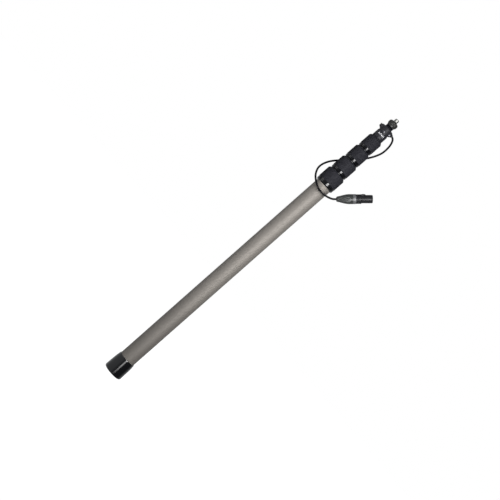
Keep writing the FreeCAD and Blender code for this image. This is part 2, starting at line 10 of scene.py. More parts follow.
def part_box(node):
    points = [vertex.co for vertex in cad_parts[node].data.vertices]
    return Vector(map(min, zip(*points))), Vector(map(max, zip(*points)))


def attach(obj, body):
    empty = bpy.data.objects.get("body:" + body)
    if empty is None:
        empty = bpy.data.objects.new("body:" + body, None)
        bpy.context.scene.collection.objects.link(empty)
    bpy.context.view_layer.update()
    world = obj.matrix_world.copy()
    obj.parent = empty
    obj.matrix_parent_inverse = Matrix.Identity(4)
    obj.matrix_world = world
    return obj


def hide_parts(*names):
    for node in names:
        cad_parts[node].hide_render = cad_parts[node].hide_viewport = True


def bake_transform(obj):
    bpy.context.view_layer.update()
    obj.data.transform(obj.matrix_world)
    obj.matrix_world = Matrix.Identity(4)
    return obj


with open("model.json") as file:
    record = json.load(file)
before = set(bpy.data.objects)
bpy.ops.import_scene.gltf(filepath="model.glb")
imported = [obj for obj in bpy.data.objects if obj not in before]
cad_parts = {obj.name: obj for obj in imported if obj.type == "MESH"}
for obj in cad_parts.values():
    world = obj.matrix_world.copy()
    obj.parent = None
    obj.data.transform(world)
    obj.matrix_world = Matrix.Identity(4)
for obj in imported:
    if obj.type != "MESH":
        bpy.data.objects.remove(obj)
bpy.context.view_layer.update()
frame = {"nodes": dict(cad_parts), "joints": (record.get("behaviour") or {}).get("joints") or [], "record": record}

# ---- Units and mesh density ----
MM = 0.001
AROUND = 128
SMALL_AROUND = 64
SHARP = math.radians(32)
EDGE_ROUND = 0.25

# ---- Boot, in millimetres ----
MOUTH_R = 12.0
BOOT_CORNER = 3.0
SCREW_HEAD_R = 2.5
SCREW_ANGLES = (90, 210, 330)
RECESS_R = 2.55
SCREW_HOLE_R = 1.55
BOOT_WAIST_ABOVE_FOOT = 21.0
BOOT_BOW = 0.3
ARC_STEPS = 8
FIT_GAP = 0.01
TUBE_WALL = 1.0

# ---- Locks, in millimetres ----
STAGES = (1, 2, 3, 4)
SECTIONS = (1, 2, 3, 4, 5)
FLANGE_BEVEL_SHARE = 0.48
PART_LINE = 0.15
COLLAR_WALL = 2.05
LOWER_LIP = 0.6
LOWER_LIP_DROP = 1.8
LIP_RELIEF = 1.0
LIP_RELIEF_DEPTH = 2.8
SKIRT_TOP = {1: 8.2, 2: 6.0, 3: 6.0, 4: 6.0}
SKIRT_INSET = 0.3
GRIP_BEVEL_RISE = 3.4
GRIP_BEVEL_IN = 2.5
KNURL_PITCH = 1.45
KNURL_DEPTH = 0.34
KNURL_STEPS = 4

# ---- Tip, in millimetres ----
SPIGOT_R = 9.4
CABLE_WAY_R = 7.6
HEAD_CAVITY_R = 8.0
HEAD_ROOF = 2.7
STUD_SHOULDER_R = 5.3
LOBE_R = 5.7
LOBE_END_ROUND = 5.2
LOBE_BELOW_TOP = 6.4
PORT_BELOW_TOP = 6.0
LEAD_PORT_R = 2.6
SPARE_PORT_R = 3.1
MARK_COUNT = 9
MARK_SPACING = 1.6
MARK_WIDTH = 0.8
MARK_HEIGHT = 3.8
MARK_BELOW_HEAD = 7.2
SHORT_MARK_SHARE = 0.62
HEAD_VOXEL = 0.3
HEAD_SMOOTHING = 12
DOME_STEPS = 12
NECK_RIBS = 2
NUT_FLARE = 4.8
NUT_BAND = 1.5
NUT_FLUTES = 60
FLUTE_DEPTH = 0.22
NUT_SEAT_DEPTH = 0.8
NUT_SEAT_R = 6.4
WASHER_GAP = 0.05
THREAD_PITCH = 1.5875
THREAD_DEPTH = 0.86
THREAD_ROWS = 8
GROMMET_LIP = 0.7
GROMMET_FOOT = 9

# ---- Cables, in millimetres ----
LEAD_R = 1.95
LEAD_GROMMET_BORE = 2.0
SPARE_GROMMET_BORE = 2.1
LEAD_ABOVE_COIL = 5.5
FLEX_POINTS = 26
JOIN_POINTS = 9
LEAD_INTO_PLUG = 7
WALK_RAYS = 12
WALK_REACH = 6
WALK_LIMIT = 2000
COIL_CABLE_R = 1.35
COIL_PITCH = 3.3
COIL_STEPS = 14

# ---- Plug, in millimetres from its cable end ----
PLUG_RIBS = 18
RIB_FOOT = 3
RIB_TOP = 27
RIB_DEPTH = 0.42
PLUG_TAIL_R = 5.45
PLUG_TAIL_TOP = 3.2
PLUG_SWELL = 4.2
PLUG_SWELL_TOP = 26.0
PLUG_RIM_R = 9.65
LEAD_HOLE_R = 1.65
RING_FOOT = 31.7
RING_TOP = 37.6
SLEEVE_R = 8.0
SHELL_BORE_R = 6.9
NECK_IN_BOOT_R = 7.95
BARREL_R = 9.15
BARREL_TOP = 47.6
NOSE_R = 7.95
NOSE_TOP = 69.5

# ---- Camera and light ----
VIEW_DISTANCE = 1.75
MM_PER_PIXEL = 1.9345
FRAME_PIXELS = 500
SENSOR = 36.0
POLE_LEAN = 48.57
VIEW_AIM = (-0.0007, 0, 0.356)
FLOOR_RADIUS = 6
FLOOR_DROP = 0.0004
FLOOR_GLOW = 0.9
FLOOR_MATTE = (0.3, 0.3, 0.3, 1)
# Each light: name, place, aim, size and power, in metres and watts.
LIGHTS = (
    ("strip", (0.50, -1.83, 0.58), (0, 0, 0.58), (0.5, 1.74), 8.2),
    ("softbox", (0.23, -0.58, 0.5), (0, 0, 0.45), (0.22, 0.52), 7),
    ("panel", (-0.60, -0.35, 0.56), (0, 0, 0.5), (0.4, 0.5), 0.9),
)
# Brightness of the studio by direction, in degrees from the camera towards +X.
STUDIO_RING = (
    (-180, 1.0), (-130, 0.58), (-100, 0.36), (-25, 0.28), (-6, 0.12),
    (30, 0.02), (95, 0.03), (130, 0.4), (180, 1.0),
)


# ============================ Mesh helpers ============================
def new_piece(name, verts, faces, smooth=True):
    """A mesh object from points in millimetres, with sharp edges marked by angle."""
    mesh = bpy.data.meshes.new(name)
    bm = bmesh.new()
    points = [bm.verts.new(Vector(v) * MM) for v in verts]
    for face in faces:
        if len(set(face)) > 2:
            bm.faces.new([points[i] for i in dict.fromkeys(face)])
    bmesh.ops.remove_doubles(bm, verts=bm.verts, dist=1e-7)
    bmesh.ops.recalc_face_normals(bm, faces=bm.faces)
    for face in bm.faces:
        face.smooth = smooth
    for edge in bm.edges:
        if len(edge.link_faces) == 2:
            edge.smooth = edge.calc_face_angle(0) < SHARP
    bm.to_mesh(mesh)
    bm.free()
    piece = bpy.data.objects.new(name, mesh)
    bpy.context.scene.collection.objects.link(piece)
    return piece


def soften(outline, radius=EDGE_ROUND, steps=3):
    """Round every corner of a closed (radius, height) outline, with a support point by it."""
    soft = []
    count = len(outline)
    for i in range(count):
        here = Vector(outline[i])
        before = Vector(outline[i - 1])
        after = Vector(outline[(i + 1) % count])
        back, ahead = before - here, after - here
        if here.x < 1e-6 or back.length < 1e-6 or ahead.length < 1e-6:
            soft.append(tuple(here))
            continue
        if back.angle(-ahead) < math.radians(12):
            soft.append(tuple(here))
            continue
        cut = min(radius, 0.42 * back.length, 0.42 * ahead.length)
        start = here + back.normalized() * cut
        end = here + ahead.normalized() * cut
        if back.length > 8 * cut:
            soft.append(tuple(here + back.normalized() * cut * 1.7))
        for step in range(steps + 1):
            t = step / steps
            bend = start * (1 - t) ** 2 + here * 2 * t * (1 - t) + end * t ** 2
            soft.append(tuple(bend))
        if ahead.length > 8 * cut:
            soft.append(tuple(here + ahead.normalized() * cut * 1.7))
    return soft


def turned(name, outline, around=AROUND, wave=None):
    """A closed (radius, height) outline turned about Z. wave(angle, radius, height)
    gives an extra radius at each point."""
    verts = []
    for step in range(around):
        angle = 2 * math.pi * step / around
        for radius, height in outline:
            extra = wave(angle, radius, height) if wave else 0
            far = max(radius + extra, 0)
            verts.append((far * math.cos(angle), far * math.sin(angle), height))
    count = len(outline)
    faces = []
    for step in range(around):
        here, there = step * count, ((step + 1) % around) * count
        for i in range(count):
            j = (i + 1) % count
            if outline[i][0] < 1e-6 and outline[j][0] < 1e-6:
                continue
            faces.append((here + i, here + j, there + j, there + i))
    return new_piece(name, verts, faces)


def swept(name, centres, radius, around=20, wave=None):
    """A round tube along a list of centre points in millimetres, with closed ends."""
    verts, faces = [], []
    direction = (centres[1] - centres[0]).normalized()
    side = direction.orthogonal().normalized()
    last = len(centres) - 1
    for n, centre in enumerate(centres):
        ahead = centres[min(n + 1, last)] - centres[max(n - 1, 0)]
        direction = ahead.normalized()
        side = (side - direction * side.dot(direction)).normalized()
        up = direction.cross(side)
        for step in range(around):
            angle = 2 * math.pi * step / around
            far = radius + (wave(n, angle) if wave else 0)
            verts.append(centre + side * far * math.cos(angle) + up * far * math.sin(angle))
    for n in range(last):
        for step in range(around):
            a, b = n * around + step, n * around + (step + 1) % around
            faces.append((a, b, b + around, a + around))
    faces.append(tuple(range(around)))
    faces.append(tuple(range(last * around, (last + 1) * around)))
    return new_piece(name, verts, faces)


def block(name, low, high, bevel=0.15):
    """A box with bevelled edges, from its corners in millimetres."""
    corners = [(x, y, z) for x in (low[0], high[0]) for y in (low[1], high[1])
               for z in (low[2], high[2])]
    faces = [(0, 1, 3, 2), (4, 6, 7, 5), (0, 4, 5, 1), (2, 3, 7, 6), (0, 2, 6, 4), (1, 5, 7, 3)]
    piece = new_piece(name, corners, faces)
    round_edges(piece, bevel)
    return piece


def apply_modifiers(piece):
    """Replace the piece's mesh by the one its modifiers give."""
    graph = bpy.context.evaluated_depsgraph_get()
    mesh = bpy.data.meshes.new_from_object(piece.evaluated_get(graph))
    piece.modifiers.clear()
    piece.data = mesh
    return piece


def round_edges(piece, width, segments=3):
    """Bevel the sharp edges by a width in millimetres."""
    bevel = piece.modifiers.new("bevel", "BEVEL")
    bevel.width = width * MM
    bevel.segments = segments
    bevel.limit_method = "ANGLE"
    bevel.angle_limit = SHARP
    bevel.harden_normals = False
    return apply_modifiers(piece)


def cut_away(piece, cutters):
    """Subtract each cutter from the piece, then delete the cutters."""
    for cutter in cutters:
        cut = piece.modifiers.new("cut", "BOOLEAN")
        cut.operation = "DIFFERENCE"
        cut.solver = "EXACT"
        cut.object = cutter
    apply_modifiers(piece)
    for cutter in cutters:
        bpy.data.objects.remove(cutter)
    return mark_sharp(piece)


def mark_sharp(piece):
    """Shade smooth, except across edges sharper than the limit angle."""
    bm = bmesh.new()
    bm.from_mesh(piece.data)
    for face in bm.faces:
        face.smooth = True
    for edge in bm.edges:
        if len(edge.link_faces) == 2:
            edge.smooth = edge.calc_face_angle(0) < SHARP
    bm.to_mesh(piece.data)
    bm.free()
    return piece


def joined(name, pieces):
    """One object from several meshes."""
    bm = bmesh.new()
    for piece in pieces:
        piece.data.transform(piece.matrix_world)
        bm.from_mesh(piece.data)
    mesh = bpy.data.meshes.new(name)
    bm.to_mesh(mesh)
    bm.free()
    for piece in pieces:
        bpy.data.objects.remove(piece)
    whole = bpy.data.objects.new(name, mesh)
    bpy.context.scene.collection.objects.link(whole)
    return whole


def place(piece, matrix):
    """Move the mesh itself, so that the piece stays at the origin."""
    piece.data.transform(matrix)
    return piece


def finish_piece(piece, material, body, slot, *nodes):
    """Give a piece its material and its body, and hide the nodes it stands for; slot is not used."""
    piece.data.materials.clear()
    piece.data.materials.append(material)
    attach(piece, body)
    if nodes:
        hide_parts(*nodes)
    return piece


# ============================ Places from the frame ============================
def heights(node):
    """A node's lowest and highest Z, in millimetres."""
    low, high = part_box(node)
    return low.z / MM, high.z / MM


def radius_of(node):
    """Half a round node's width in Y, in millimetres."""
    low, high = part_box(node)
    return (high.y - low.y) / 2 / MM


JOINTS = {joint["name"]: joint for joint in frame["joints"]}
MOUNTS = {mount["name"]: mount for mount in frame["record"]["mounts"]}
SECTION_BODY = {1: "base", 2: "section_2", 3: "section_3", 4: "section_4", 5: "section_5"}


# ============================ Materials ============================
class Recipe:
    """A node material under construction: a Principled shader and short ways to feed it."""

    def __init__(self, name, colour, roughness, metallic=0.0):
        self.material = bpy.data.materials.new(name)
        self.material.use_nodes = True
        self.tree = self.material.node_tree
        self.shader = self.tree.nodes["Principled BSDF"]
        self.set("Base Color", (*colour, 1))
        self.set("Roughness", roughness)
        self.set("Metallic", metallic)
        self.material.diffuse_color = (*colour, 1)
        coordinates = self.tree.nodes.new("ShaderNodeTexCoord")
        self.where = coordinates.outputs["Object"]
        self.height = None

    def set(self, socket, value):
        self.shader.inputs[socket].default_value = value

    def join(self, source, target):
        self.tree.links.new(source, target)

    def stretched(self, scale):
        node = self.tree.nodes.new("ShaderNodeMapping")
        node.inputs["Scale"].default_value = scale
        self.join(self.where, node.inputs["Vector"])
        return node.outputs["Vector"]

    def noise(self, scale, detail=3.0, stretch=(1, 1, 1), roughness=0.5):
        node = self.tree.nodes.new("ShaderNodeTexNoise")
        node.inputs["Scale"].default_value = scale
        node.inputs["Detail"].default_value = detail
        node.inputs["Roughness"].default_value = roughness
        self.join(self.stretched(stretch), node.inputs["Vector"])
        return node.outputs["Fac"]

    def ramp(self, source, low, high, from_low=0.3, from_high=0.7):
        """The source, spread from one band of values to another."""
        node = self.tree.nodes.new("ShaderNodeMapRange")
        node.inputs["From Min"].default_value = from_low
        node.inputs["From Max"].default_value = from_high
        node.inputs["To Min"].default_value = low
        node.inputs["To Max"].default_value = high
        self.join(source, node.inputs["Value"])
        return node.outputs["Result"]

    def math(self, operation, first, second):
        node = self.tree.nodes.new("ShaderNodeMath")
        node.operation = operation
        for socket, value in zip(node.inputs, (first, second)):
            if isinstance(value, (int, float)):
                socket.default_value = value
            else:
                self.join(value, socket)
        return node.outputs["Value"]

    def mix_colours(self, factor, first, second):
        """Between two colours, by a factor socket."""
        node = self.tree.nodes.new("ShaderNodeMix")
        node.data_type = "RGBA"
        self.join(factor, node.inputs[0])
        for socket, value in ((node.inputs[6], first), (node.inputs[7], second)):
            if isinstance(value, tuple):
                socket.default_value = (*value, 1)
            else:
                self.join(value, socket)
        return node.outputs[2]

    def colour(self, socket):
        self.join(socket, self.shader.inputs["Base Color"])

    def rough(self, socket):
        self.join(socket, self.shader.inputs["Roughness"])

    def bump(self, source, distance, strength=0.5):
        node = self.tree.nodes.new("ShaderNodeBump")
        node.inputs["Strength"].default_value = strength
        node.inputs["Distance"].default_value = distance
        self.join(source, node.inputs["Height"])
        if self.height is not None:
            self.join(self.height, node.inputs["Normal"])
        self.height = node.outputs["Normal"]
        self.join(self.height, self.shader.inputs["Normal"])

    def edge_wear(self):
        """High where the surface is convex, from the geometry's pointiness."""
        node = self.tree.nodes.new("ShaderNodeNewGeometry")
        return node.outputs["Pointiness"]


def anodised_tube(name, colour):
    """Satin anodised tube: soft mottling, faint drawing lines along it and a fine grain."""
    m = Recipe(name, colour, 0.68, 0.5)
    mottling = m.noise(9, 3)
    lines = m.noise(900, 2, (1, 1, 0.004))
    light = tuple(c * 1.05 for c in colour)
    dark = tuple(c * 0.95 for c in colour)
    m.colour(m.mix_colours(m.ramp(mottling, 0, 1), dark, light))
    m.rough(m.math("ADD", m.ramp(lines, 0.66, 0.70), m.ramp(mottling, -0.02, 0.02)))
    m.bump(m.noise(9000, 2), 0.000006, 0.2)
    return m.material


def gloss_black(name, colour=(0.004, 0.004, 0.005), roughness=0.1, shine=0.38):
    """Polished black anodising: deep, with faint rub marks and a slight ripple."""
    m = Recipe(name, colour, roughness)
    m.set("Specular IOR Level", shine)
    rubs = m.noise(90, 5, (1, 1, 2.5), 0.65)
    m.rough(m.ramp(rubs, roughness * 0.8, roughness * 1.6, 0.35, 0.75))
    m.bump(m.noise(260, 2), 0.00001, 0.1)
    return m.material


def knurled_black(name):
    """Matte black anodising, slightly lighter on the worn points of the knurl."""
    m = Recipe(name, (0.012, 0.012, 0.015), 0.6)
    m.set("Specular IOR Level", 0.12)
    wear = m.ramp(m.edge_wear(), 0, 1, 0.50, 0.58)
    patches = m.ramp(m.noise(120, 4), 0.3, 1, 0.3, 0.7)
    worn = m.math("MULTIPLY", wear, patches)
    m.colour(m.mix_colours(worn, (0.012, 0.012, 0.0155), (0.03, 0.03, 0.036)))
    m.rough(m.ramp(m.noise(300, 3), 0.55, 0.7))
    m.bump(m.noise(6000, 2), 0.00001, 0.2)
    return m.material


def satin_black(name, colour=(0.014, 0.014, 0.0175), roughness=0.5, shine=0.3):
    """Satin black anodising with a fine blasted grain."""
    m = Recipe(name, colour, roughness)
    m.set("Specular IOR Level", shine)
    m.rough(m.ramp(m.noise(160, 4), roughness * 0.85, roughness * 1.2))
    wear = m.ramp(m.edge_wear(), 0, 0.6, 0.52, 0.62)
    m.colour(m.mix_colours(wear, colour, tuple(min(c * 2, 1) for c in colour)))
    m.bump(m.noise(4200, 2), 0.00002, 0.3)
    return m.material


def bright_steel(name, colour=(0.62, 0.62, 0.60), roughness=0.22):
    """Turned steel with fine rings and small stains."""
    m = Recipe(name, colour, roughness, 1.0)
    rings = m.noise(1500, 2, (0.05, 0.05, 1))
    m.rough(m.ramp(rings, roughness * 0.8, roughness * 1.4))
    m.colour(m.mix_colours(m.ramp(m.noise(350, 4), 0, 1), tuple(c * 0.8 for c in colour), colour))
    m.bump(rings, 0.00001, 0.2)
    return m.material


def rubber(name, colour, roughness=0.6, grain=3000, shine=0.35, sheen=0.05):
    """Soft jacket or moulding: matte, a little dusty, with a fine skin."""
    m = Recipe(name, colour, roughness)
    m.set("Sheen Weight", sheen)
    m.set("Specular IOR Level", shine)
    m.set("Sheen Roughness", 0.5)
    dust = m.noise(220, 4)
    lighter = tuple(min(c * 1.5, 1) for c in colour)
    m.colour(m.mix_colours(m.ramp(dust, 0, 1, 0.4, 0.8), colour, lighter))
    m.rough(m.ramp(dust, roughness * 0.85, roughness * 1.12))
    m.bump(m.noise(grain, 3), 0.00003, 0.3)
    return m.material


def moulded(name, colour, roughness=0.45):
    """Moulded plastic with a light spark-eroded texture."""
    m = Recipe(name, colour, roughness)
    darker = tuple(c * 0.92 for c in colour)
    lighter = tuple(min(c * 1.08, 1) for c in colour)
    m.colour(m.mix_colours(m.ramp(m.noise(90, 3), 0, 1), darker, lighter))
    m.rough(m.ramp(m.noise(500, 3), roughness * 0.85, roughness * 1.15))
    m.bump(m.noise(2600, 2), 0.00003, 0.25)
    return m.material


def gold(name):
    """Gold plate, slightly uneven in colour and polish."""
    m = Recipe(name, (0.78, 0.58, 0.24), 0.22, 1.0)
    m.rough(m.ramp(m.noise(900, 3), 0.16, 0.32))
    m.colour(m.mix_colours(m.ramp(m.noise(400, 3), 0, 1), (0.70, 0.50, 0.20), (0.82, 0.63, 0.28)))
    return m.material


def printed(name, colour):
    """Pale printing ink, a little uneven."""
    m = Recipe(name, colour, 0.5)
    m.colour(m.mix_colours(m.ramp(m.noise(1800, 3), 0, 1), tuple(c * 0.85 for c in colour), colour))
    return m.material


TUBE_GREY = anodised_tube("anodised_grey", (0.19, 0.176, 0.16))
INNER_TUBE_GREY = anodised_tube("anodised_inner", (0.18, 0.168, 0.154))
GLOSS_BLACK = gloss_black("polished_black")
BOOT_BLACK = gloss_black("boot_black", (0.004, 0.004, 0.005), 0.115, 1.0)
KNURL_BLACK = knurled_black("knurled_black")
TIP_BLACK = satin_black("tip_black")
NUT_OLIVE = satin_black("nut_olive", (0.021, 0.021, 0.0195), 0.4)
NECK_BLACK = satin_black("neck_black", (0.002, 0.002, 0.004), 0.5, 0.08)
PLATE_BLACK = satin_black("connector_plate", (0.011, 0.011, 0.0125), 0.36, 0.13)
STUD_STEEL = bright_steel("stud_steel")
SCREW_STEEL = bright_steel("screw_steel", (0.2, 0.2, 0.22), 0.34)
WASHER_STEEL = bright_steel("washer_steel", (0.3, 0.3, 0.3), 0.3)
JACKET = rubber("cable_jacket", (0.003, 0.003, 0.004), 0.5, shine=0.08, sheen=0.01)
GROMMET = rubber("grommet_rubber", (0.016, 0.016, 0.016), 0.6)
PLUG_RUBBER = rubber("plug_rubber", (0.019, 0.0205, 0.02), 0.4, 1800, 0.42, 0.03)
ACETAL = moulded("acetal_natural", (0.72, 0.70, 0.62), 0.4)
BUSH_BLACK = moulded("acetal_black", (0.03, 0.03, 0.03), 0.45)
INSERT_BLACK = moulded("insert_black", (0.02, 0.02, 0.022), 0.4)
RING_GREY = moulded("ring_grey", (0.075, 0.075, 0.078), 0.4)
CONTACT_GOLD = gold("contact_gold")
MARK_PALE = printed("mark_pale", (0.62, 0.62, 0.64))


# ============================ Base ============================
def boot_outline(low, high, floor, foot_r, tube_r):
    """The boot's half section: mouth, rounded foot, slightly bowed taper and rounded top."""
    outline = [(MOUTH_R, floor), (MOUTH_R, low + 0.8), (MOUTH_R + 0.8, low)]
    for step in range(ARC_STEPS + 1):
        turn = math.radians(-90 + 90 * step / ARC_STEPS)
        outline.append((foot_r - BOOT_CORNER + BOOT_CORNER * math.cos(turn),
                        low + BOOT_CORNER + BOOT_CORNER * math.sin(turn)))
    waist = (foot_r - 0.35, low + BOOT_WAIST_ABOVE_FOOT)
    shoulder = (foot_r - 1.75, high - 0.7)
    outline.append((foot_r, low + BOOT_CORNER + 1.5))
    outline.append(waist)
    for step in range(1, ARC_STEPS + 1):
        t = step / ARC_STEPS
        bow = BOOT_BOW * math.sin(math.pi * t)
        outline.append((waist[0] + (shoulder[0] - waist[0]) * t + bow,
                        waist[1] + (shoulder[1] - waist[1]) * t))
    outline += [
        (shoulder[0] - 0.14, high - 0.36),
        (shoulder[0] - 0.4, high - 0.1),
        (shoulder[0] - 0.8, high),
        (tube_r + FIT_GAP, high),
        (tube_r + FIT_GAP, floor),
    ]
    return outline


def screw_recess(x, y, low, floor):
    """The cutter for one countersunk screw hole through the boot's foot."""
    cutter = turned("recess", [
        (0, -0.5),
        (RECESS_R, -0.5),
        (RECESS_R, 0.3),
        (SCREW_HOLE_R, 1.9),
        (SCREW_HOLE_R, floor + 0.5),
        (0, floor + 0.5),
    ], 32)
    return place(cutter, Matrix.Translation(Vector((x, y, low)) * MM))


def make_boot():
    """The flared boot, with a round mouth and three screw recesses in its foot."""
    low, high = heights("base_boot")
    floor = heights("tube_1")[0]
    foot_r, tube_r = radius_of("base_boot"), radius_of("tube_1")
    boot = turned("boot", boot_outline(low, high, floor, foot_r, tube_r))
    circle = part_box("socket_screws")[1].y / MM - SCREW_HEAD_R
    turns = [math.radians(degrees) for degrees in SCREW_ANGLES]
    recesses = [screw_recess(circle * math.cos(a), circle * math.sin(a), low, floor) for a in turns]
    cut_away(boot, recesses)
    return finish_piece(boot, BOOT_BLACK, "base", "boot_black", "base_boot")


def make_tube(section):
    """A plain tube with softened rims."""
    low, high = heights(f"tube_{section}")
    outside = radius_of(f"tube_{section}")
    inside = outside - TUBE_WALL
    outline = [(inside, low), (outside, low), (outside, high), (inside, high)]
    tube = turned(f"tube_{section}_skin", soften(outline, 0.2))
    material = TUBE_GREY if section == 1 else INNER_TUBE_GREY
    slot = "tube_anodised" if section == 1 else "inner_tube"
    return finish_piece(tube, material, SECTION_BODY[section], slot, f"tube_{section}")


# ============================ Locks ============================
def make_ferrule(stage):
    """Polished flange, with the neck that goes up inside the collar."""
    low, high = heights(f"ferrule_{stage}")
    flange_r = radius_of(f"ferrule_{stage}")
    tube_r = radius_of(f"tube_{stage}")
    foot = low if stage == 1 else low + LOWER_LIP_DROP
    flange_top = heights(f"collar_{stage}")[0] - PART_LINE
    bevel = (flange_top - foot) * FLANGE_BEVEL_SHARE
    neck_r = radius_of(f"collar_{stage}") - COLLAR_WALL
    lip = [] if stage == 1 else [(tube_r + LOWER_LIP, low), (tube_r + LOWER_LIP, foot)]
    outline = soften([
        (tube_r + FIT_GAP, low),
        *lip,
        (flange_r - bevel, foot),
        (flange_r, foot + bevel),
        (flange_r, flange_top),
        (neck_r, flange_top),
        (neck_r, high),
        (tube_r + FIT_GAP, high),
    ], 0.3, 4)
    ferrule = turned(f"ferrule_{stage}_polished", outline)
    return finish_piece(ferrule, GLOSS_BLACK, SECTION_BODY[stage], "black_gloss", f"ferrule_{stage}")


def knurl(radius, low, high):
    """The depth of a diamond knurl at a point: crossing V grooves, with flat-topped points."""
    across = round(2 * math.pi * radius / KNURL_PITCH)

    def wave(angle, r, z):
        if z < low or z > high or r < radius - 0.2:
            return 0
        turn = angle * across / (2 * math.pi)
        climb = (z - low) / KNURL_PITCH
        first = 1 - abs(2 * ((turn + climb) % 1) - 1)
        second = 1 - abs(2 * ((turn - climb) % 1) - 1)
        point = min(1, 1.5 * min(first, second))
        edge = min(1, (z - low) / 0.5, (high - z) / 0.5)
        return -KNURL_DEPTH * (1 - point) * max(edge, 0)

    return wave, across * KNURL_STEPS


def flange_foot(stage):
    """Where the ferrule's full width begins: above its lower lip, if it has one."""
    low = heights(f"ferrule_{stage}")[0]
    return low if stage == 1 else low + LOWER_LIP_DROP


def collar_outline(high, skirt, grip_r, inside_r, tube_r, grip_rows):
    """The grip ring's half section: foot, knurled rows, long bevel and relieved mouth."""
    shoulder = high - GRIP_BEVEL_RISE
    bevel_r = grip_r - GRIP_BEVEL_IN
    return [
        (inside_r, skirt),
        (grip_r - 0.75, skirt),
        (grip_r - 0.75, skirt + 0.1),
        (grip_r - 0.1, skirt + 0.25),
        (grip_r, skirt + 0.4),
        *grip_rows,
        (grip_r, shoulder - 0.1),
        (grip_r - 0.12, shoulder + 0.25),
        (grip_r - 0.4, shoulder + 0.65),
        (bevel_r + 0.35, high - 0.55),
        (bevel_r + 0.05, high - 0.22),
        (bevel_r - 0.3, high - 0.02),
        (bevel_r - 0.5, high),
        (tube_r + LIP_RELIEF + 0.1, high),
        (tube_r + LIP_RELIEF, high - 0.1),
        (tube_r + LIP_RELIEF, high - LIP_RELIEF_DEPTH),
        (tube_r + 0.3, high - LIP_RELIEF_DEPTH),
        (tube_r + 0.3, high - 4.7),
        (inside_r, high - 11),
    ]


def make_collar(stage):
    """The grip ring: a knurled band with a long bevel at the top, and a polished skirt."""
    low, high = heights(f"collar_{stage}")
    grip_r = radius_of(f"collar_{stage}")
    skirt = flange_foot(stage) + SKIRT_TOP[stage]
    inside_r = grip_r - COLLAR_WALL + 0.05
    knurl_foot, knurl_top = skirt + 0.5, high - GRIP_BEVEL_RISE - 0.2
    wave, around = knurl(grip_r, knurl_foot, knurl_top)
    rise = KNURL_PITCH / KNURL_STEPS
    rows = int((knurl_top - knurl_foot) / rise)
    grip_rows = [(grip_r, knurl_foot + rise * row) for row in range(rows + 1)]
    tube_r = radius_of(f"tube_{stage + 1}")
    outline = collar_outline(high, skirt, grip_r, inside_r, tube_r, grip_rows)
    collar = turned(f"collar_{stage}_grip", outline, around, wave)
    finish_piece(collar, KNURL_BLACK, f"collar_{stage}", "collar_knurl", f"collar_{stage}")
    skirt_r = grip_r - SKIRT_INSET
    ring = turned(f"collar_{stage}_skirt", soften([
        (inside_r, low),
        (skirt_r, low),
        (skirt_r, skirt - 0.15),
        (skirt_r - 0.3, skirt + 0.02),
        (inside_r, skirt + 0.02),
    ], 0.3, 4))
    return finish_piece(ring, GLOSS_BLACK, f"collar_{stage}", "black_gloss")


# ============================ Tip ============================
def make_tip_ferrule():
    """Sleeve over the last tube, with a lip below, two grooves and the head's spigot."""
    low, high = heights("tip_ferrule")
    foot = low + LOWER_LIP_DROP
    ferrule_r = radius_of("tip_ferrule")
    head_foot = heights("exit_head")[0]
    tube_r = radius_of("tube_5")
    tube_top = heights("tube_5")[1]
    outline = [
        (tube_r + FIT_GAP, low),
        (tube_r + LOWER_LIP, low),
        (tube_r + LOWER_LIP, foot),
        (ferrule_r - 0.8, foot),
        (ferrule_r, foot + 0.8),
    ]
    for groove in (foot + 1.6, head_foot - 1.6):
        outline += [(ferrule_r, groove - 0.3), (ferrule_r - 0.4, groove - 0.1),
                    (ferrule_r - 0.4, groove + 0.1), (ferrule_r, groove + 0.3)]
    outline += [
        (ferrule_r, head_foot - 0.3),
        (ferrule_r - 0.3, head_foot),
        (SPIGOT_R, head_foot),
        (SPIGOT_R, high),
        (CABLE_WAY_R, high),
        (CABLE_WAY_R, tube_top),
        (tube_r + FIT_GAP, tube_top),
    ]
    ferrule = turned("tip_ferrule_body", soften(outline, 0.12, 2))
    return finish_piece(ferrule, TIP_BLACK, "section_5", "tip_black", "tip_ferrule")


def make_tip_marks():
    """Plain index strokes printed on the front of the tip ferrule."""
    face = radius_of("tip_ferrule") + 0.03
    foot = heights("exit_head")[0] - MARK_BELOW_HEAD
    strokes = []
    for n in range(MARK_COUNT):
        middle = (n - (MARK_COUNT - 1) / 2) * MARK_SPACING / face
        tall = MARK_HEIGHT if n % 4 == 0 else MARK_HEIGHT * SHORT_MARK_SHARE
        verts, faces = [], []
        for step in range(4):
            angle = -math.pi / 2 + middle + (step / 3 - 0.5) * MARK_WIDTH / face
            for r, z in ((face - 0.1, 0), (face, 0), (face, tall), (face - 0.1, tall)):
                verts.append((r * math.cos(angle), r * math.sin(angle), foot + z))
        for step in range(3):
            for i in range(4):
                a, b = step * 4 + i, step * 4 + (i + 1) % 4
                faces.append((a, b, b + 4, a + 4))
        faces += [(0, 1, 2, 3), (12, 13, 14, 15)]
        strokes.append(new_piece("stroke", verts, faces))
    marks = joined("tip_marks", strokes)
    return finish_piece(marks, MARK_PALE, "section_5", "tip_black")


def dome(points, radius, end_round, reach, side):
    """Add the quarter-round end of a lobe, from its axis out or back to it."""
    steps = range(DOME_STEPS + 1) if side < 0 else range(DOME_STEPS, -1, -1)
    for step in steps:
        turn = math.radians(90 * (1 - step / DOME_STEPS))
        points.append((radius - end_round + end_round * math.cos(turn),
                       side * (reach - end_round + end_round * math.sin(turn))))


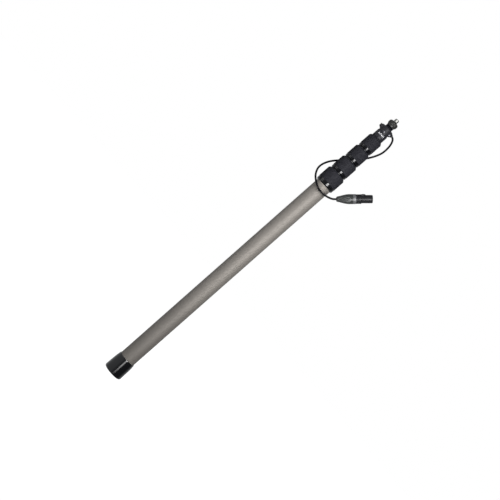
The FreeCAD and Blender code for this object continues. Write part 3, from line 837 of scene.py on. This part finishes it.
def head_blank(low, high):
    """The head before boring: a round body and a cross bar, melted together."""
    body_r, reach = radius_of("exit_head"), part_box("exit_head")[1].x / MM
    body = turned("head_body", soften([
        (0, low), (body_r, low), (body_r, high - 3), (body_r - 3, high), (0, high),
    ], 0.6, 4), 96)
    bar_outline = [(0, -reach)]
    dome(bar_outline, LOBE_R, LOBE_END_ROUND, reach, -1)
    dome(bar_outline, LOBE_R, LOBE_END_ROUND, reach, 1)
    bar_outline.append((0, reach))
    bar = turned("head_lobes", bar_outline, 64)
    lobe_z = high - LOBE_BELOW_TOP
    place(bar, Matrix.Translation(Vector((0, 0, lobe_z)) * MM) @ Matrix.Rotation(math.pi / 2, 4, "Y"))
    union = body.modifiers.new("union", "BOOLEAN")
    union.operation = "UNION"
    union.solver = "EXACT"
    union.object = bar
    remesh = body.modifiers.new("remesh", "REMESH")
    remesh.mode = "VOXEL"
    remesh.voxel_size = HEAD_VOXEL * MM
    remesh.use_smooth_shade = True
    smooth = body.modifiers.new("smooth", "SMOOTH")
    smooth.factor = 0.5
    smooth.iterations = HEAD_SMOOTHING
    apply_modifiers(body)
    bpy.data.objects.remove(bar)
    return body


def make_head():
    """The cast head: a round body that flows into two opposite lobes, bored at each end."""
    low, high = heights("exit_head")
    body = head_blank(low, high)
    spigot_top = heights("tip_ferrule")[1]
    roof = high - HEAD_ROOF
    cutters = [turned("way", [
        (0, low - 1),
        (SPIGOT_R, low - 1),
        (SPIGOT_R, spigot_top),
        (HEAD_CAVITY_R, spigot_top),
        (HEAD_CAVITY_R, roof),
        (STUD_SHOULDER_R, roof),
        (STUD_SHOULDER_R, high + 1),
        (0, high + 1),
    ], 64)]
    for side, port_r in ((1, LEAD_PORT_R), (-1, SPARE_PORT_R)):
        port = turned("port", [(0, 5), (port_r, 5), (port_r, 20), (0, 20)], 48)
        turn = Matrix.Rotation(side * math.pi / 2, 4, "Y")
        place(port, Matrix.Translation(Vector((0, 0, high - PORT_BELOW_TOP)) * MM) @ turn)
        cutters.append(port)
    cut_away(body, cutters)
    body.name = "exit_head_cast"
    return finish_piece(body, TIP_BLACK, "section_5", "tip_black", "exit_head")


def small_screw():
    """A pan-head screw with a cross recess: its top at the origin, its shank along -Z."""
    screw = turned("screw", [
        (0, 0), (1.2, 0), (1.7, -0.15), (1.95, -0.5), (2.0, -0.9),
        (2.0, -1.1), (1.25, -1.1), (1.25, -3.5), (0, -3.5),
    ], 32)
    slots = [
        block("slot", (-1.3, -0.22, -0.6), (1.3, 0.22, 0.4), 0.02),
        block("slot", (-0.22, -1.3, -0.6), (0.22, 1.3, 0.4), 0.02),
    ]
    return cut_away(screw, slots)


def make_head_screws():
    """Three small screws: one at the front and back of the body, one on the lead's lobe."""
    low, high = heights("exit_head")
    face = radius_of("exit_head") + 0.3
    body_z = low + 2.9
    lobe_face, lobe_z = LOBE_R + 0.1, high - LOBE_BELOW_TOP - 2.2
    screws = []
    for x, y, z in ((-0.8, -face, body_z), (0.8, face, body_z), (11.0, -lobe_face, lobe_z)):
        turn = math.pi / 2 if y < 0 else -math.pi / 2
        move = Matrix.Translation(Vector((x, y, z)) * MM) @ Matrix.Rotation(turn, 4, "X")
        screws.append(place(small_screw(), move))
    whole = joined("head_screw_set", screws)
    return finish_piece(whole, SCREW_STEEL, "section_5", "screw_steel", "head_screws")


def make_grommet(node, bore, side):
    """A rubber grommet: a sleeve in the lobe's port and a lip over the port's rim."""
    low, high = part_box(node)
    outer_r = (high.y - low.y) / 2 / MM - GROMMET_LIP
    rim = max(abs(low.x), abs(high.x)) / MM
    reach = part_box("exit_head")[1].x / MM
    outline = [
        (bore, GROMMET_FOOT),
        (outer_r, GROMMET_FOOT),
        (outer_r, reach - 0.2),
        (outer_r + GROMMET_LIP, reach),
        (outer_r + 0.55, rim - 0.3),
        (outer_r - 0.2, rim),
        (bore + 0.2, rim),
        (bore, rim - 0.2),
    ]
    grommet = turned(node + "_ring", soften(outline, 0.2, 3), 48)
    centre_z = (low.z + high.z) / 2
    turn = Matrix.Rotation(side * math.pi / 2, 4, "Y")
    place(grommet, Matrix.Translation((0, 0, centre_z)) @ turn)
    return finish_piece(grommet, GROMMET, "section_5", "grommet_rubber", node)


def make_neck():
    """The neck under the nut, with shallow ribs."""
    low, high = heights("neck_boss")
    neck_r = radius_of("neck_boss")
    outline = [(STUD_SHOULDER_R, low), (neck_r, low)]
    pitch = (high - low) / (NECK_RIBS + 0.5)
    for n in range(NECK_RIBS):
        z = low + pitch * (n + 0.5)
        outline += [(neck_r, z), (neck_r - 0.6, z + 0.25 * pitch),
                    (neck_r - 0.6, z + 0.5 * pitch), (neck_r, z + 0.75 * pitch)]
    outline += [(neck_r, high), (STUD_SHOULDER_R, high)]
    neck = turned("neck_ribbed", soften(outline, 0.2, 3), 96)
    return finish_piece(neck, NECK_BLACK, "section_5", "tip_black", "neck_boss")


def make_stud():
    """The stud, with a cut thread from the neck to its bevelled end."""
    low, high = heights("mount_stud")
    neck_top = heights("neck_boss")[1]
    stud_r = MOUNTS["tip_stud"]["dims"]["r_mm"]

    def thread(angle, r, z):
        if z < neck_top + 0.3 or r < stud_r - 0.05:
            return 0
        phase = (z / THREAD_PITCH - angle / (2 * math.pi)) % 1
        height = min(1, max(0, 1.15 - 2.3 * abs(phase - 0.5)))
        fade = min(1, (high - z) / 1.2)
        return -THREAD_DEPTH * (1 - height) - 0.35 * (1 - fade)

    outline = [(0, low), (5.25, low), (5.25, neck_top - 0.05), (stud_r, neck_top - 0.05)]
    rise = THREAD_PITCH / THREAD_ROWS
    rows = int((high - 0.25 - neck_top) / rise)
    outline += [(stud_r, neck_top + rise * row) for row in range(rows + 1)]
    outline += [
        (stud_r - 1.1, high - 0.1),
        (stud_r - 1.4, high),
        (1.9, high),
        (1.9, high - 2.6),
        (0, high - 3.0),
    ]
    stud = turned("stud_threaded", outline, SMALL_AROUND, thread)
    return finish_piece(stud, STUD_STEEL, "section_5", "stud_steel", "mount_stud")


def make_lock_nut():
    """The thumb nut: a long flared foot, two bands of fine flutes and a rounded top."""
    low, high = heights("lock_nut")
    nut_r = radius_of("lock_nut")
    neck_r = radius_of("neck_boss")
    foot = low + NUT_FLARE
    bore, seat = MOUNTS["tip_stud"]["dims"]["r_mm"] + 0.05, high - NUT_SEAT_DEPTH
    fluted_top = foot + 2 * NUT_BAND + 0.6

    def flute(angle, r, z):
        if r < nut_r - 0.15 or z < foot or z > fluted_top:
            return 0
        return -FLUTE_DEPTH * (0.5 + 0.5 * math.cos(angle * NUT_FLUTES))

    outline = [
        (bore, low),
        (neck_r - 0.25, low),
        (neck_r - 0.08, low + 0.15),
        (neck_r, low + 0.9),
        (neck_r + 0.25, low + 1.8),
        (neck_r + 0.9, low + 2.9),
        (nut_r - 0.45, foot - 0.75),
        (nut_r - 0.12, foot - 0.2),
        (nut_r, foot + 0.05),
    ]
    for n in range(2):
        z = foot + NUT_BAND * n
        outline += [(nut_r, z + 0.1), (nut_r, z + 0.5), (nut_r, z + 0.95),
                    (nut_r - 0.4, z + 1.1), (nut_r - 0.4, z + 1.35), (nut_r, z + NUT_BAND)]
    shoulder = foot + 2 * NUT_BAND + 0.9
    radius = high - shoulder
    for step in range(11):
        turn = math.radians(90 * step / 10)
        outline.append((nut_r - radius + radius * math.cos(turn), shoulder + radius * math.sin(turn)))
    outline += [(NUT_SEAT_R + 0.05, high), (NUT_SEAT_R, high - 0.05), (NUT_SEAT_R, seat), (bore, seat)]
    nut = turned("lock_nut_fluted", outline, NUT_FLUTES * 6, flute)
    return finish_piece(nut, NUT_OLIVE, "lock_nut", "nut_olive", "lock_nut")


def make_washer():
    """The thin washer, a little clear of the nut's recess all round."""
    foot, high = heights("jam_washer")
    low = foot + WASHER_GAP
    outside = radius_of("jam_washer") - WASHER_GAP
    bore = MOUNTS["tip_stud"]["dims"]["r_mm"] + WASHER_GAP
    outline = [(bore, low), (outside, low), (outside, high), (bore, high)]
    washer = turned("washer_flat", soften(outline, 0.12), SMALL_AROUND)
    return finish_piece(washer, WASHER_STEEL, "jam_washer", "washer_steel", "jam_washer")


# ============================ Cables ============================
def centreline(node, start, direction, step=1.0):
    """Walk along the inside of a swept tube: at each step the middle of the wall around
    the last point is the next centre. Everything is in millimetres."""
    mesh = frame["nodes"][node].data
    points = [v.co / MM for v in mesh.vertices]
    tree = BVHTree.FromPolygons(points, [tuple(p.vertices) for p in mesh.polygons])
    centres = [start.copy()]
    here = start.copy()
    while len(centres) < WALK_LIMIT:
        ahead = tree.ray_cast(here, direction, step * 1.5)[0]
        if ahead is not None:
            centres.append(ahead)
            return centres
        guess = here + direction * step
        side = direction.orthogonal().normalized()
        up = direction.cross(side)
        hits = []
        for n in range(WALK_RAYS):
            a = 2 * math.pi * n / WALK_RAYS
            ray = side * math.cos(a) + up * math.sin(a)
            hit = tree.ray_cast(guess, ray, WALK_REACH)[0]
            if hit is not None:
                hits.append(hit)
        middle = sum(hits, Vector()) / len(hits)
        direction = (middle - here).normalized()
        here = middle
        centres.append(here.copy())
    return centres


def relaxed(points, passes=3):
    """The same run of points, each drawn towards its neighbours, with both ends held."""
    for _ in range(passes):
        inner = [(a + b * 2 + c) / 4 for a, b, c in zip(points, points[1:], points[2:])]
        points = [points[0], *inner, points[-1]]
    return points


def make_lead():
    """The lead, as a fixed length and a last stretch that runs into the plug."""
    foot = heights("coil_4")[1]
    start = Vector((0, 0, foot + LEAD_ABOVE_COIL))
    centres = centreline("mic_lead", start, Vector((0, 0, 1)))
    tail = Vector(JOINTS["plug_swing"]["pos_m"]) / MM
    into_plug = Vector(MOUNTS["lead_plug"]["axis"]).normalized()
    fixed, free = centres[:-FLEX_POINTS], centres[-FLEX_POINTS - 1:-1]
    last = free[-1]
    for n in range(1, JOIN_POINTS + 1):
        free.append(last.lerp(tail + into_plug * LEAD_INTO_PLUG, n / JOIN_POINTS))
    run = relaxed(free)
    lead = swept("lead_fixed", fixed, LEAD_R)
    finish_piece(lead, JACKET, "section_5", "cable_jacket", "mic_lead")
    flexing = swept("lead_flexing", run, LEAD_R)
    flexing.data.materials.append(JACKET)
    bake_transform(flexing)


def make_coil(stretch):
    """One stretch of the coiled cable, wound within its CAD node's height and width."""
    low, high = heights(f"coil_{stretch}")
    coil_r = radius_of(f"coil_{stretch}") - COIL_CABLE_R - 0.05
    climb = high - low - 2 * COIL_CABLE_R
    turns = climb / COIL_PITCH
    steps = int(turns * COIL_STEPS)
    centres = []
    for n in range(steps + 1):
        angle = 2 * math.pi * turns * n / steps
        z = low + COIL_CABLE_R + climb * n / steps
        centres.append(Vector((coil_r * math.cos(angle), coil_r * math.sin(angle), z)))
    coil = swept(f"coil_{stretch}_wound", centres, COIL_CABLE_R, 8)
    coil.data.materials.append(JACKET)
    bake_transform(coil)
    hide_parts(f"coil_{stretch}")


# ============================ Plug ============================
def plug_matrix():
    """From the plug's own frame, +Z from its cable end to its nose, to the row frame."""
    tail = Vector(JOINTS["plug_swing"]["pos_m"])
    along = Vector(MOUNTS["lead_plug"]["axis"]).normalized()
    lean = math.atan2(along.x, along.z)
    return Matrix.Translation(tail) @ Matrix.Rotation(lean, 4, "Y")


def plug_boot_outline():
    """The boot's half section: rounded tail, sine swell, grooved rim and hollow inside."""
    outline = [
        (LEAD_HOLE_R, 0.4), (1.95, 0.05), (3.0, 0.0), (4.0, 0.35),
        (4.75, 1.1), (5.2, 2.2), (PLUG_TAIL_R, PLUG_TAIL_TOP),
    ]
    for step in range(1, 24):
        t = step / 23
        z = PLUG_TAIL_TOP + (PLUG_SWELL_TOP - PLUG_TAIL_TOP) * t
        outline.append((PLUG_TAIL_R + PLUG_SWELL * (math.sin(t * math.pi / 2) ** 1.25), z))
    outline += [
        (PLUG_RIM_R, 27), (PLUG_RIM_R, 28.2), (PLUG_RIM_R - 0.35, 28.5),
        (PLUG_RIM_R - 0.35, 28.9), (PLUG_RIM_R, 29.2), (PLUG_RIM_R, 31.2),
        (PLUG_RIM_R - 0.3, 31.55), (SLEEVE_R, 31.6), (SLEEVE_R, 22), (5.6, 12), (LEAD_HOLE_R, 9),
    ]
    return outline


def make_plug_boot():
    """Tapered rubber boot with lengthwise ribs between a smooth tail and rim."""
    def rib(angle, r, z):
        if r < 4.5 or z < RIB_FOOT or z > RIB_TOP:
            return 0
        swell = min(1, (z - RIB_FOOT) / 5, (RIB_TOP - z) / 3)
        return -RIB_DEPTH * swell * (0.5 + 0.5 * math.cos(angle * PLUG_RIBS)) ** 2

    boot = turned("plug_boot_ribbed", plug_boot_outline(), PLUG_RIBS * 10, rib)
    place(boot, plug_matrix())
    return finish_piece(boot, PLUG_RUBBER, "plug", "plug_rubber", "plug_boot")


def make_plug_ring():
    """The smooth coding ring between the boot and the barrel."""
    outline = [(SLEEVE_R, RING_FOOT), (9.55, RING_FOOT), (9.55, RING_TOP), (SLEEVE_R, RING_TOP)]
    ring = turned("plug_ring_band", soften(outline, 0.35, 4), 96)
    place(ring, plug_matrix())
    return finish_piece(ring, RING_GREY, "plug", "ring_plastic", "plug_ring")


def shell_outline():
    """The shell's half section: neck in the boot, grooved barrel and grooved nose."""
    return soften([
        (SHELL_BORE_R, 26.2), (NECK_IN_BOOT_R, 26.2), (NECK_IN_BOOT_R, 37.7),
        (BARREL_R - 0.3, 37.7), (BARREL_R, 38.0), (BARREL_R, 41.0), (BARREL_R - 0.2, 41.2),
        (BARREL_R - 0.2, 41.5), (BARREL_R, 41.7), (BARREL_R, BARREL_TOP),
        (NOSE_R, 48.6), (NOSE_R, 66.0), (NOSE_R - 0.15, 66.2), (NOSE_R - 0.15, 66.5),
        (NOSE_R, 66.7), (NOSE_R, 68.7), (NOSE_R - 0.8, NOSE_TOP), (SHELL_BORE_R, NOSE_TOP),
    ], 0.2, 3)


def make_plug_shell():
    """Shell: barrel, step down to the nose, and a raised housing for the latch."""
    shell = turned("shell", shell_outline(), 96)
    rail = block("rail", (-8.85, -4.5, 47.2), (-6.5, 4.5, 55.6), 0.5)
    join = shell.modifiers.new("join", "BOOLEAN")
    join.operation = "UNION"
    join.solver = "EXACT"
    join.object = rail
    apply_modifiers(shell)
    bpy.data.objects.remove(rail)
    core = turned("core", [(0, 20), (SHELL_BORE_R, 20), (SHELL_BORE_R, 80), (0, 80)], 96)
    pocket = block("pocket", (-16, -3.6, 44.6), (-6.92, 3.6, 55.8), 0.3)
    cut_away(shell, [core, pocket])
    shell.name = "plug_shell_plated"
    place(shell, plug_matrix())
    return finish_piece(shell, PLATE_BLACK, "plug", "connector_metal", "plug_shell")


def make_latch():
    """The latch tongue with a raised push pad."""
    tongue = block("tongue", (-9.0, -3.4, 45.0), (-8.0, 3.4, 55.3), 0.2)
    pad = block("pad", (-9.55, -2.9, 48.6), (-8.6, 2.9, 54.6), 0.25)
    latch = joined("latch_tongue", [tongue, pad])
    place(latch, plug_matrix())
    return finish_piece(latch, PLATE_BLACK, "plug_latch", "connector_metal", "plug_latch")


# ============================ CAD nodes that stay ============================
def kept_materials():
    """The material of each CAD node that is shown as it is."""
    materials = {
        "socket_housing": PLATE_BLACK,
        "socket_insert": INSERT_BLACK,
        "socket_pins": CONTACT_GOLD,
        "socket_screws": SCREW_STEEL,
        "plug_chuck": RING_GREY,
        "plug_insert": INSERT_BLACK,
        "plug_contacts": CONTACT_GOLD,
    }
    for stage in STAGES:
        materials[f"collet_{stage}"] = ACETAL
        materials[f"guide_bush_{stage + 1}"] = BUSH_BLACK
    return materials


def dress_kept_nodes():
    """Give every carried-over CAD node its material."""
    for node, material in kept_materials().items():
        mesh = frame["nodes"][node].data
        mesh.materials.clear()
        mesh.materials.append(material)


# ============================ Stage: floor, lights, camera ============================
def make_floor():
    """A plain pale floor that fades into the white surround."""
    bpy.ops.mesh.primitive_circle_add(
        vertices=96, radius=FLOOR_RADIUS, fill_type="NGON", location=(0, 0, -FLOOR_DROP))
    floor = bpy.context.object
    floor.name = "floor"
    material = bpy.data.materials.new("pale_floor")
    material.use_nodes = True
    tree = material.node_tree
    tree.nodes.clear()
    output = tree.nodes.new("ShaderNodeOutputMaterial")
    add = tree.nodes.new("ShaderNodeAddShader")
    glow = tree.nodes.new("ShaderNodeEmission")
    glow.inputs["Strength"].default_value = FLOOR_GLOW
    matte = tree.nodes.new("ShaderNodeBsdfDiffuse")
    matte.inputs["Color"].default_value = FLOOR_MATTE
    tree.links.new(glow.outputs[0], add.inputs[0])
    tree.links.new(matte.outputs[0], add.inputs[1])
    tree.links.new(add.outputs[0], output.inputs["Surface"])
    floor.data.materials.append(material)
    floor.visible_diffuse = False
    floor.visible_glossy = False
    floor.visible_shadow = False


def angle_around(tree):
    """The direction of a ray round the pole, from the camera's side towards +X."""
    direction = tree.nodes.new("ShaderNodeTexCoord").outputs["Generated"]
    parts = tree.nodes.new("ShaderNodeSeparateXYZ")
    tree.links.new(direction, parts.inputs[0])
    towards_camera = tree.nodes.new("ShaderNodeMath")
    towards_camera.operation = "MULTIPLY"
    towards_camera.inputs[1].default_value = -1
    tree.links.new(parts.outputs["Y"], towards_camera.inputs[0])
    around = tree.nodes.new("ShaderNodeMath")
    around.operation = "ARCTAN2"
    tree.links.new(parts.outputs["X"], around.inputs[0])
    tree.links.new(towards_camera.outputs[0], around.inputs[1])
    return around.outputs[0]


def studio_brightness(tree):
    """The studio's brightness by direction, from STUDIO_RING."""
    share = tree.nodes.new("ShaderNodeMapRange")
    share.inputs["From Min"].default_value = -math.pi
    share.inputs["From Max"].default_value = math.pi
    tree.links.new(angle_around(tree), share.inputs["Value"])
    ramp = tree.nodes.new("ShaderNodeValToRGB")
    elements = ramp.color_ramp.elements
    while len(elements) < len(STUDIO_RING):
        elements.new(0.5)
    for element, (degrees, brightness) in zip(elements, STUDIO_RING):
        element.position = (degrees + 180) / 360
        element.color = (brightness * 0.96, brightness * 0.98, brightness, 1)
    tree.links.new(share.outputs["Result"], ramp.inputs["Fac"])
    return ramp.outputs["Color"]


def make_surround():
    """White to the camera. As light, a studio: a white sheet behind the pole, a pale
    screen at the left of the camera and dark flags at its right."""
    world = bpy.data.worlds.new("surround")
    bpy.context.scene.world = world
    world.use_nodes = True
    tree = world.node_tree
    tree.nodes.clear()
    output = tree.nodes.new("ShaderNodeOutputWorld")
    paths = tree.nodes.new("ShaderNodeLightPath")
    seen = tree.nodes.new("ShaderNodeBackground")
    seen.inputs["Color"].default_value = (1, 1, 1, 1)
    lit = tree.nodes.new("ShaderNodeBackground")
    tree.links.new(studio_brightness(tree), lit.inputs["Color"])
    mix = tree.nodes.new("ShaderNodeMixShader")
    tree.links.new(paths.outputs["Is Camera Ray"], mix.inputs[0])
    tree.links.new(lit.outputs[0], mix.inputs[1])
    tree.links.new(seen.outputs[0], mix.inputs[2])
    tree.links.new(mix.outputs[0], output.inputs["Surface"])


def area_light(name, place_at, aim, size, power):
    """A rectangular light that the camera does not see."""
    light = bpy.data.lights.new(name, "AREA")
    light.shape = "RECTANGLE"
    light.size, light.size_y = size
    light.energy = power
    lamp = bpy.data.objects.new(name, light)
    bpy.context.scene.collection.objects.link(lamp)
    lamp.location = place_at
    lamp.rotation_mode = "QUATERNION"
    lamp.rotation_quaternion = (Vector(place_at) - Vector(aim)).to_track_quat("Z", "Y")
    lamp.visible_camera = False
    return lamp


def make_lights():
    """An upright strip and a small softbox at the camera's right, a weak panel at its left."""
    for light in LIGHTS:
        area_light(*light)


def make_camera():
    """A level camera that looks at the pole's middle, rolled to the pole's lean."""
    camera = bpy.data.cameras.new("camera")
    camera.sensor_width = SENSOR
    span = FRAME_PIXELS * MM_PER_PIXEL * MM
    camera.lens = SENSOR * VIEW_DISTANCE / span
    holder = bpy.data.objects.new("camera", camera)
    bpy.context.scene.collection.objects.link(holder)
    aim = Vector(VIEW_AIM)
    back = Vector((0, -1, 0))
    holder.location = aim + back * VIEW_DISTANCE
    level = (-back).to_track_quat("-Z", "Y").to_matrix().to_4x4()
    roll = Matrix.Rotation(math.radians(POLE_LEAN), 4, "Z")
    holder.rotation_mode = "QUATERNION"
    holder.rotation_quaternion = (level @ roll).to_quaternion()
    camera.clip_end = 50
    bpy.context.scene.camera = holder


# ============================ Build ============================
make_boot()
for section in SECTIONS:
    make_tube(section)
for stage in STAGES:
    make_ferrule(stage)
    make_collar(stage)
    make_coil(stage)
make_tip_ferrule()
make_tip_marks()
make_head()
make_head_screws()
make_grommet("lead_grommet", LEAD_GROMMET_BORE, 1)
make_grommet("port_grommet", SPARE_GROMMET_BORE, -1)
make_neck()
make_stud()
make_lock_nut()
make_washer()
make_lead()
make_plug_boot()
make_plug_ring()
make_plug_shell()
make_latch()
dress_kept_nodes()
make_floor()
make_surround()
make_lights()
make_camera()
bpy.context.scene.view_settings.view_transform = "Standard"
